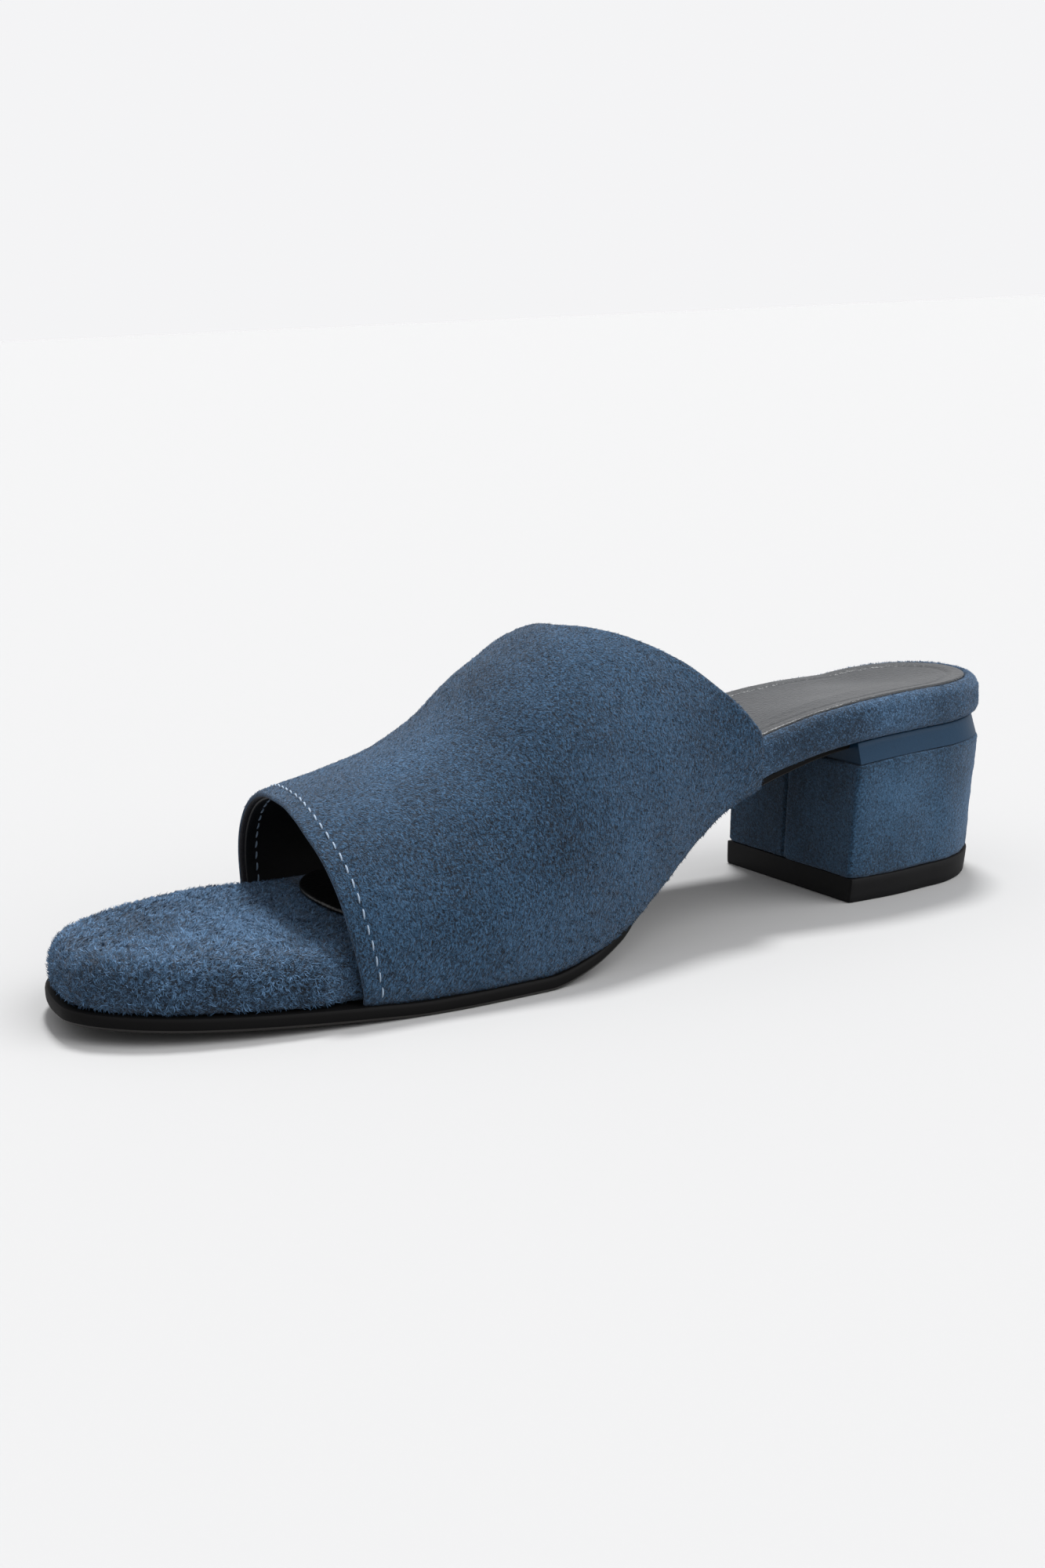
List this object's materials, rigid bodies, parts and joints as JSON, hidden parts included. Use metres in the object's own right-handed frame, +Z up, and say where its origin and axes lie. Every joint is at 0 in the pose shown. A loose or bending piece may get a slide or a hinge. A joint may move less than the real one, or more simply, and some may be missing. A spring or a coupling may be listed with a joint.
{
  "type": "block heel mule",
  "caption": "Right-foot slip-on mule in blue suede: a wide hollow band over a padded footbed, open toe and heel, grey leather sock, thin black outsole and a covered block heel.",
  "frame": {"origin": "centre of the shoe's bounding box in plan, on the floor", "axes": "+Y runs from the heel to the toe, +X is the lateral (outer) side, +Z is up"},
  "size_m": [0.087, 0.2516, 0.0744],
  "materials": {
    "upper_suede": "napped blue suede with black leather lining",
    "footbed_suede": "napped blue suede over a soft pad",
    "sock_leather": "fine grained dark grey leather, satin",
    "rand_leather": "smooth blue leather, satin",
    "heel_suede": "short napped blue suede cover",
    "outsole_rubber": "matte black sheet with a dressed edge",
    "top_piece_rubber": "matte black rubber"
  },
  "bodies": {
    "root": {"outsole": "outsole_rubber", "footbed": "footbed_suede", "insole_sock": "sock_leather", "upper": "upper_suede", "heel_rand": "rand_leather", "heel_block": "heel_suede", "top_piece": "top_piece_rubber"}
  },
  "joints": []
}
